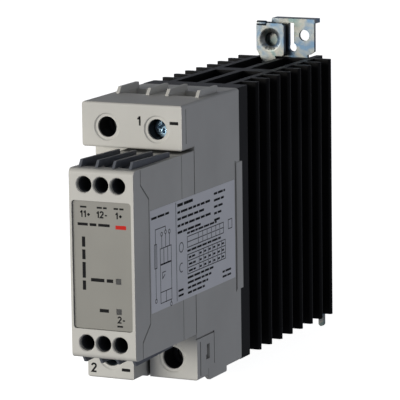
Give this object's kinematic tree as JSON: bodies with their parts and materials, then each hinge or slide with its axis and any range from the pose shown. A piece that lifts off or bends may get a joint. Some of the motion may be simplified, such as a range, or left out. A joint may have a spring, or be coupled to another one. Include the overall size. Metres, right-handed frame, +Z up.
{
  "type": "solid state relay",
  "caption": "Rail-mounted solid state relay: finned black heat sink with spring latch, pale power housing with box-clamp terminals, and a narrow control module in front.",
  "frame": {"origin": "on the rail seat of the back bracket, at the middle of the rail's height and of the unit's width", "axes": "+X to the right seen from the front, +Y from the front to the back (towards the rail), +Z up"},
  "size_m": [0.0356, 0.163, 0.1084],
  "materials": {
    "black_anodised": "satin black anodised",
    "zinc_steel": "zinc plated",
    "spring_steel": "bright drawn",
    "housing_plastic": "fine matt texture",
    "slate_plastic": "fine matt texture",
    "label_foil": "satin printed film",
    "smoked_plastic": "polished",
    "led_lens": "polished",
    "board": "solder mask",
    "black_plastic": "moulded",
    "white_plastic": "moulded",
    "capacitor_can": "sleeved",
    "film_box": "moulded",
    "resistor_body": "lacquered",
    "varistor_coat": "epoxy coat",
    "tinned_brass": "tinned",
    "copper": "copper strip, brushed",
    "nickel_copper": "copper plate",
    "cage_steel": "yellow zinc plated",
    "thermal_paste": "soft pad",
    "alumina": "fired, plain",
    "silicon": "polished"
  },
  "bodies": {
    "relay": {"heatsink": "black_anodised", "rail_bracket": "zinc_steel", "bracket_screws": "zinc_steel", "spring_pin": "zinc_steel", "latch_spring": "spring_steel", "power_housing": "housing_plastic", "control_housing": "housing_plastic", "control_cover": "housing_plastic", "front_label": "label_foil", "side_label": "label_foil", "upper_terminal_block": "slate_plastic", "lower_terminal_block": "slate_plastic", "upper_contacts": "tinned_brass", "lower_contact": "tinned_brass", "light_guides": "smoked_plastic", "status_leds": "led_lens", "control_board": "board", "processor": "black_plastic", "alarm_relay": "white_plastic", "supply_capacitors": "capacitor_can", "board_connector": "black_plastic", "power_board": "board", "gate_driver": "black_plastic", "snubber_capacitor": "film_box", "snubber_resistor": "resistor_body", "varistor": "varistor_coat", "current_sensor": "black_plastic", "screw_guides": "black_plastic", "busbar_upper": "copper", "busbar_lower": "copper", "base_plate": "nickel_copper", "thermal_pad": "thermal_paste", "substrate": "alumina", "thyristors": "silicon", "module_frame": "black_plastic", "module_screws": "zinc_steel"},
    "rail_latch": {"rail_latch": "zinc_steel"},
    "power_screw_upper": {"power_screw_upper": "zinc_steel"},
    "power_cage_upper": {"power_cage_upper": "cage_steel"},
    "power_screw_lower": {"power_screw_lower": "zinc_steel"},
    "power_cage_lower": {"power_cage_lower": "cage_steel"},
    "control_screw_1": {"control_screw_1": "zinc_steel"},
    "control_cage_1": {"control_cage_1": "cage_steel"},
    "control_screw_2": {"control_screw_2": "zinc_steel"},
    "control_cage_2": {"control_cage_2": "cage_steel"},
    "control_screw_3": {"control_screw_3": "zinc_steel"},
    "control_cage_3": {"control_cage_3": "cage_steel"},
    "control_screw_4": {"control_screw_4": "zinc_steel"},
    "control_cage_4": {"control_cage_4": "cage_steel"}
  },
  "joints": [
    {"name": "power_screw_upper_turn", "type": "hinge", "parent": "relay", "child": "power_screw_upper", "pos_m": [0.00875, -0.1151, 0.0371], "axis": [0, 1, 0], "range_deg": [0, 2252]},
    {"name": "power_cage_upper_lift", "type": "slide", "parent": "relay", "child": "power_cage_upper", "axis": [0, -1, 0], "range_m": [0, 0.005]},
    {"name": "power_screw_lower_turn", "type": "hinge", "parent": "relay", "child": "power_screw_lower", "pos_m": [-0.00875, -0.1151, -0.0371], "axis": [0, 1, 0], "range_deg": [0, 2252]},
    {"name": "power_cage_lower_lift", "type": "slide", "parent": "relay", "child": "power_cage_lower", "axis": [0, -1, 0], "range_m": [0, 0.005]},
    {"name": "control_screw_1_turn", "type": "hinge", "parent": "relay", "child": "control_screw_1", "pos_m": [0.00065, -0.1482, 0.02475], "axis": [0, 1, 0], "range_deg": [0, 1802]},
    {"name": "control_cage_1_lift", "type": "slide", "parent": "relay", "child": "control_cage_1", "axis": [0, -1, 0], "range_m": [0, 0.0025]},
    {"name": "control_screw_2_turn", "type": "hinge", "parent": "relay", "child": "control_screw_2", "pos_m": [0.0064, -0.1482, 0.02475], "axis": [0, 1, 0], "range_deg": [0, 1802]},
    {"name": "control_cage_2_lift", "type": "slide", "parent": "relay", "child": "control_cage_2", "axis": [0, -1, 0], "range_m": [0, 0.0025]},
    {"name": "control_screw_3_turn", "type": "hinge", "parent": "relay", "child": "control_screw_3", "pos_m": [0.01215, -0.1482, 0.02475], "axis": [0, 1, 0], "range_deg": [0, 1802]},
    {"name": "control_cage_3_lift", "type": "slide", "parent": "relay", "child": "control_cage_3", "axis": [0, -1, 0], "range_m": [0, 0.0025]},
    {"name": "control_screw_4_turn", "type": "hinge", "parent": "relay", "child": "control_screw_4", "pos_m": [0.01215, -0.1482, -0.02475], "axis": [0, 1, 0], "range_deg": [0, 1802]},
    {"name": "control_cage_4_lift", "type": "slide", "parent": "relay", "child": "control_cage_4", "axis": [0, -1, 0], "range_m": [0, 0.0025]},
    {"name": "rail_latch_slide", "type": "slide", "parent": "relay", "child": "rail_latch", "axis": [0, 0, 1], "range_m": [0, 0.003], "stiffness_N_per_m": 1400, "springref_m": -0.003, "deforming": ["latch_spring"]}
  ],
  "couplings": [
    {"joint": "power_screw_upper_turn", "follows": "power_cage_upper_lift", "rad_per_m": 7854},
    {"joint": "power_screw_lower_turn", "follows": "power_cage_lower_lift", "rad_per_m": 7854},
    {"joint": "control_screw_1_turn", "follows": "control_cage_1_lift", "rad_per_m": 12566},
    {"joint": "control_screw_2_turn", "follows": "control_cage_2_lift", "rad_per_m": 12566},
    {"joint": "control_screw_3_turn", "follows": "control_cage_3_lift", "rad_per_m": 12566},
    {"joint": "control_screw_4_turn", "follows": "control_cage_4_lift", "rad_per_m": 12566}
  ]
}
